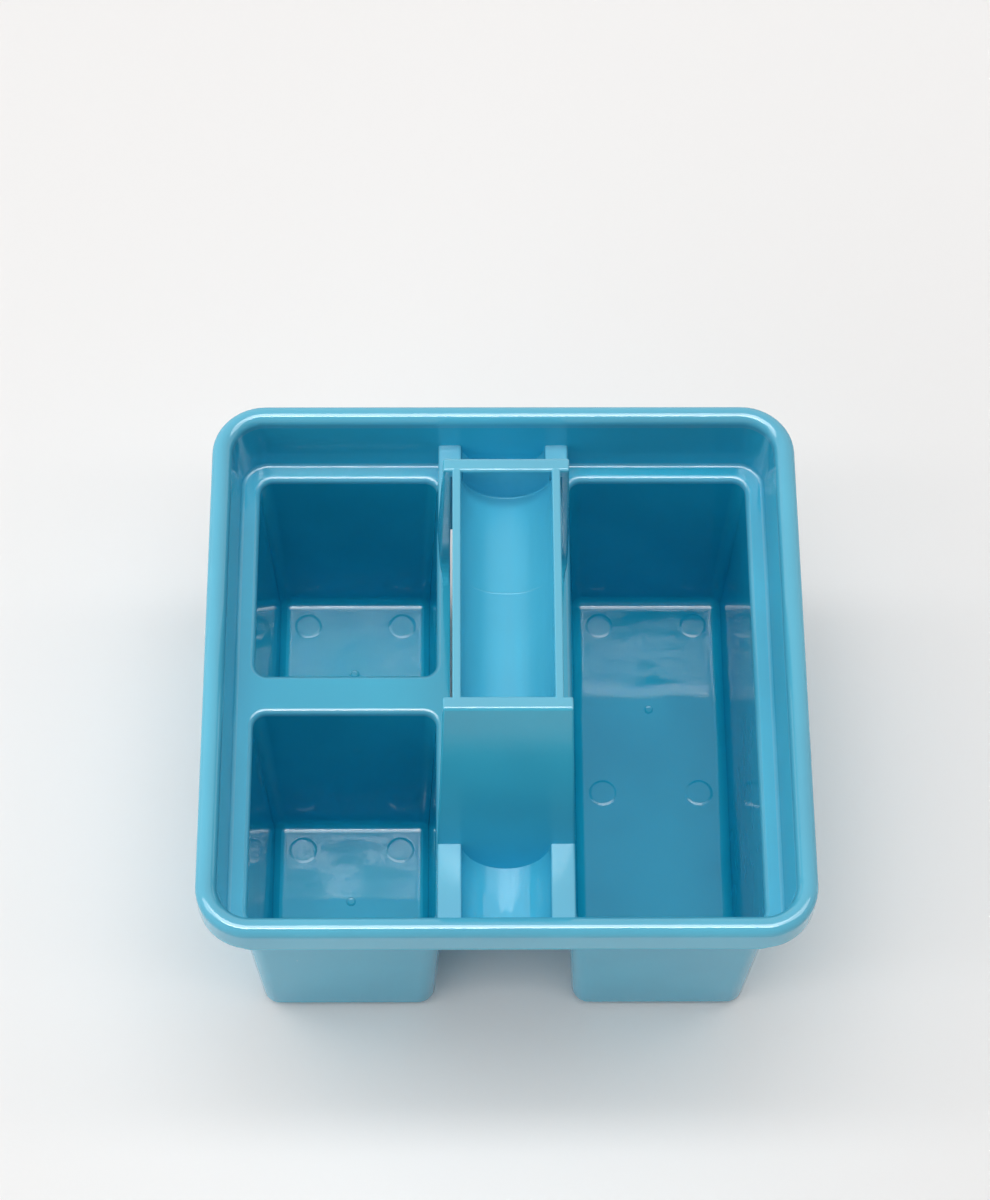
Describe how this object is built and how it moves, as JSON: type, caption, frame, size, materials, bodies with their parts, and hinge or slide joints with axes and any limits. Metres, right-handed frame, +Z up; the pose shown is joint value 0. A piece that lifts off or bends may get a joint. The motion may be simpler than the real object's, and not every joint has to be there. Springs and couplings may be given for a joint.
{
  "type": "tool storage caddy",
  "caption": "Square open caddy with tapered bins hanging under a rolled rim, and a raised centre handle whose grip is a half-round pen tray.",
  "frame": {"origin": "centre of the footprint on the table, under the bins", "axes": "+X to the right, towards the long bin; +Y to the back; +Z up through the handle"},
  "size_m": [0.15, 0.1466, 0.1268],
  "materials": {
    "plastic": "light blue opaque plastic, glossy as moulded"
  },
  "bodies": {
    "root": {"rim": "plastic", "collar": "plastic", "deck": "plastic", "rear_left_bin": "plastic", "front_left_bin": "plastic", "right_bin": "plastic", "front_saddle": "plastic", "rear_saddle": "plastic", "front_post": "plastic", "rear_post": "plastic", "pen_tray": "plastic"}
  },
  "joints": []
}
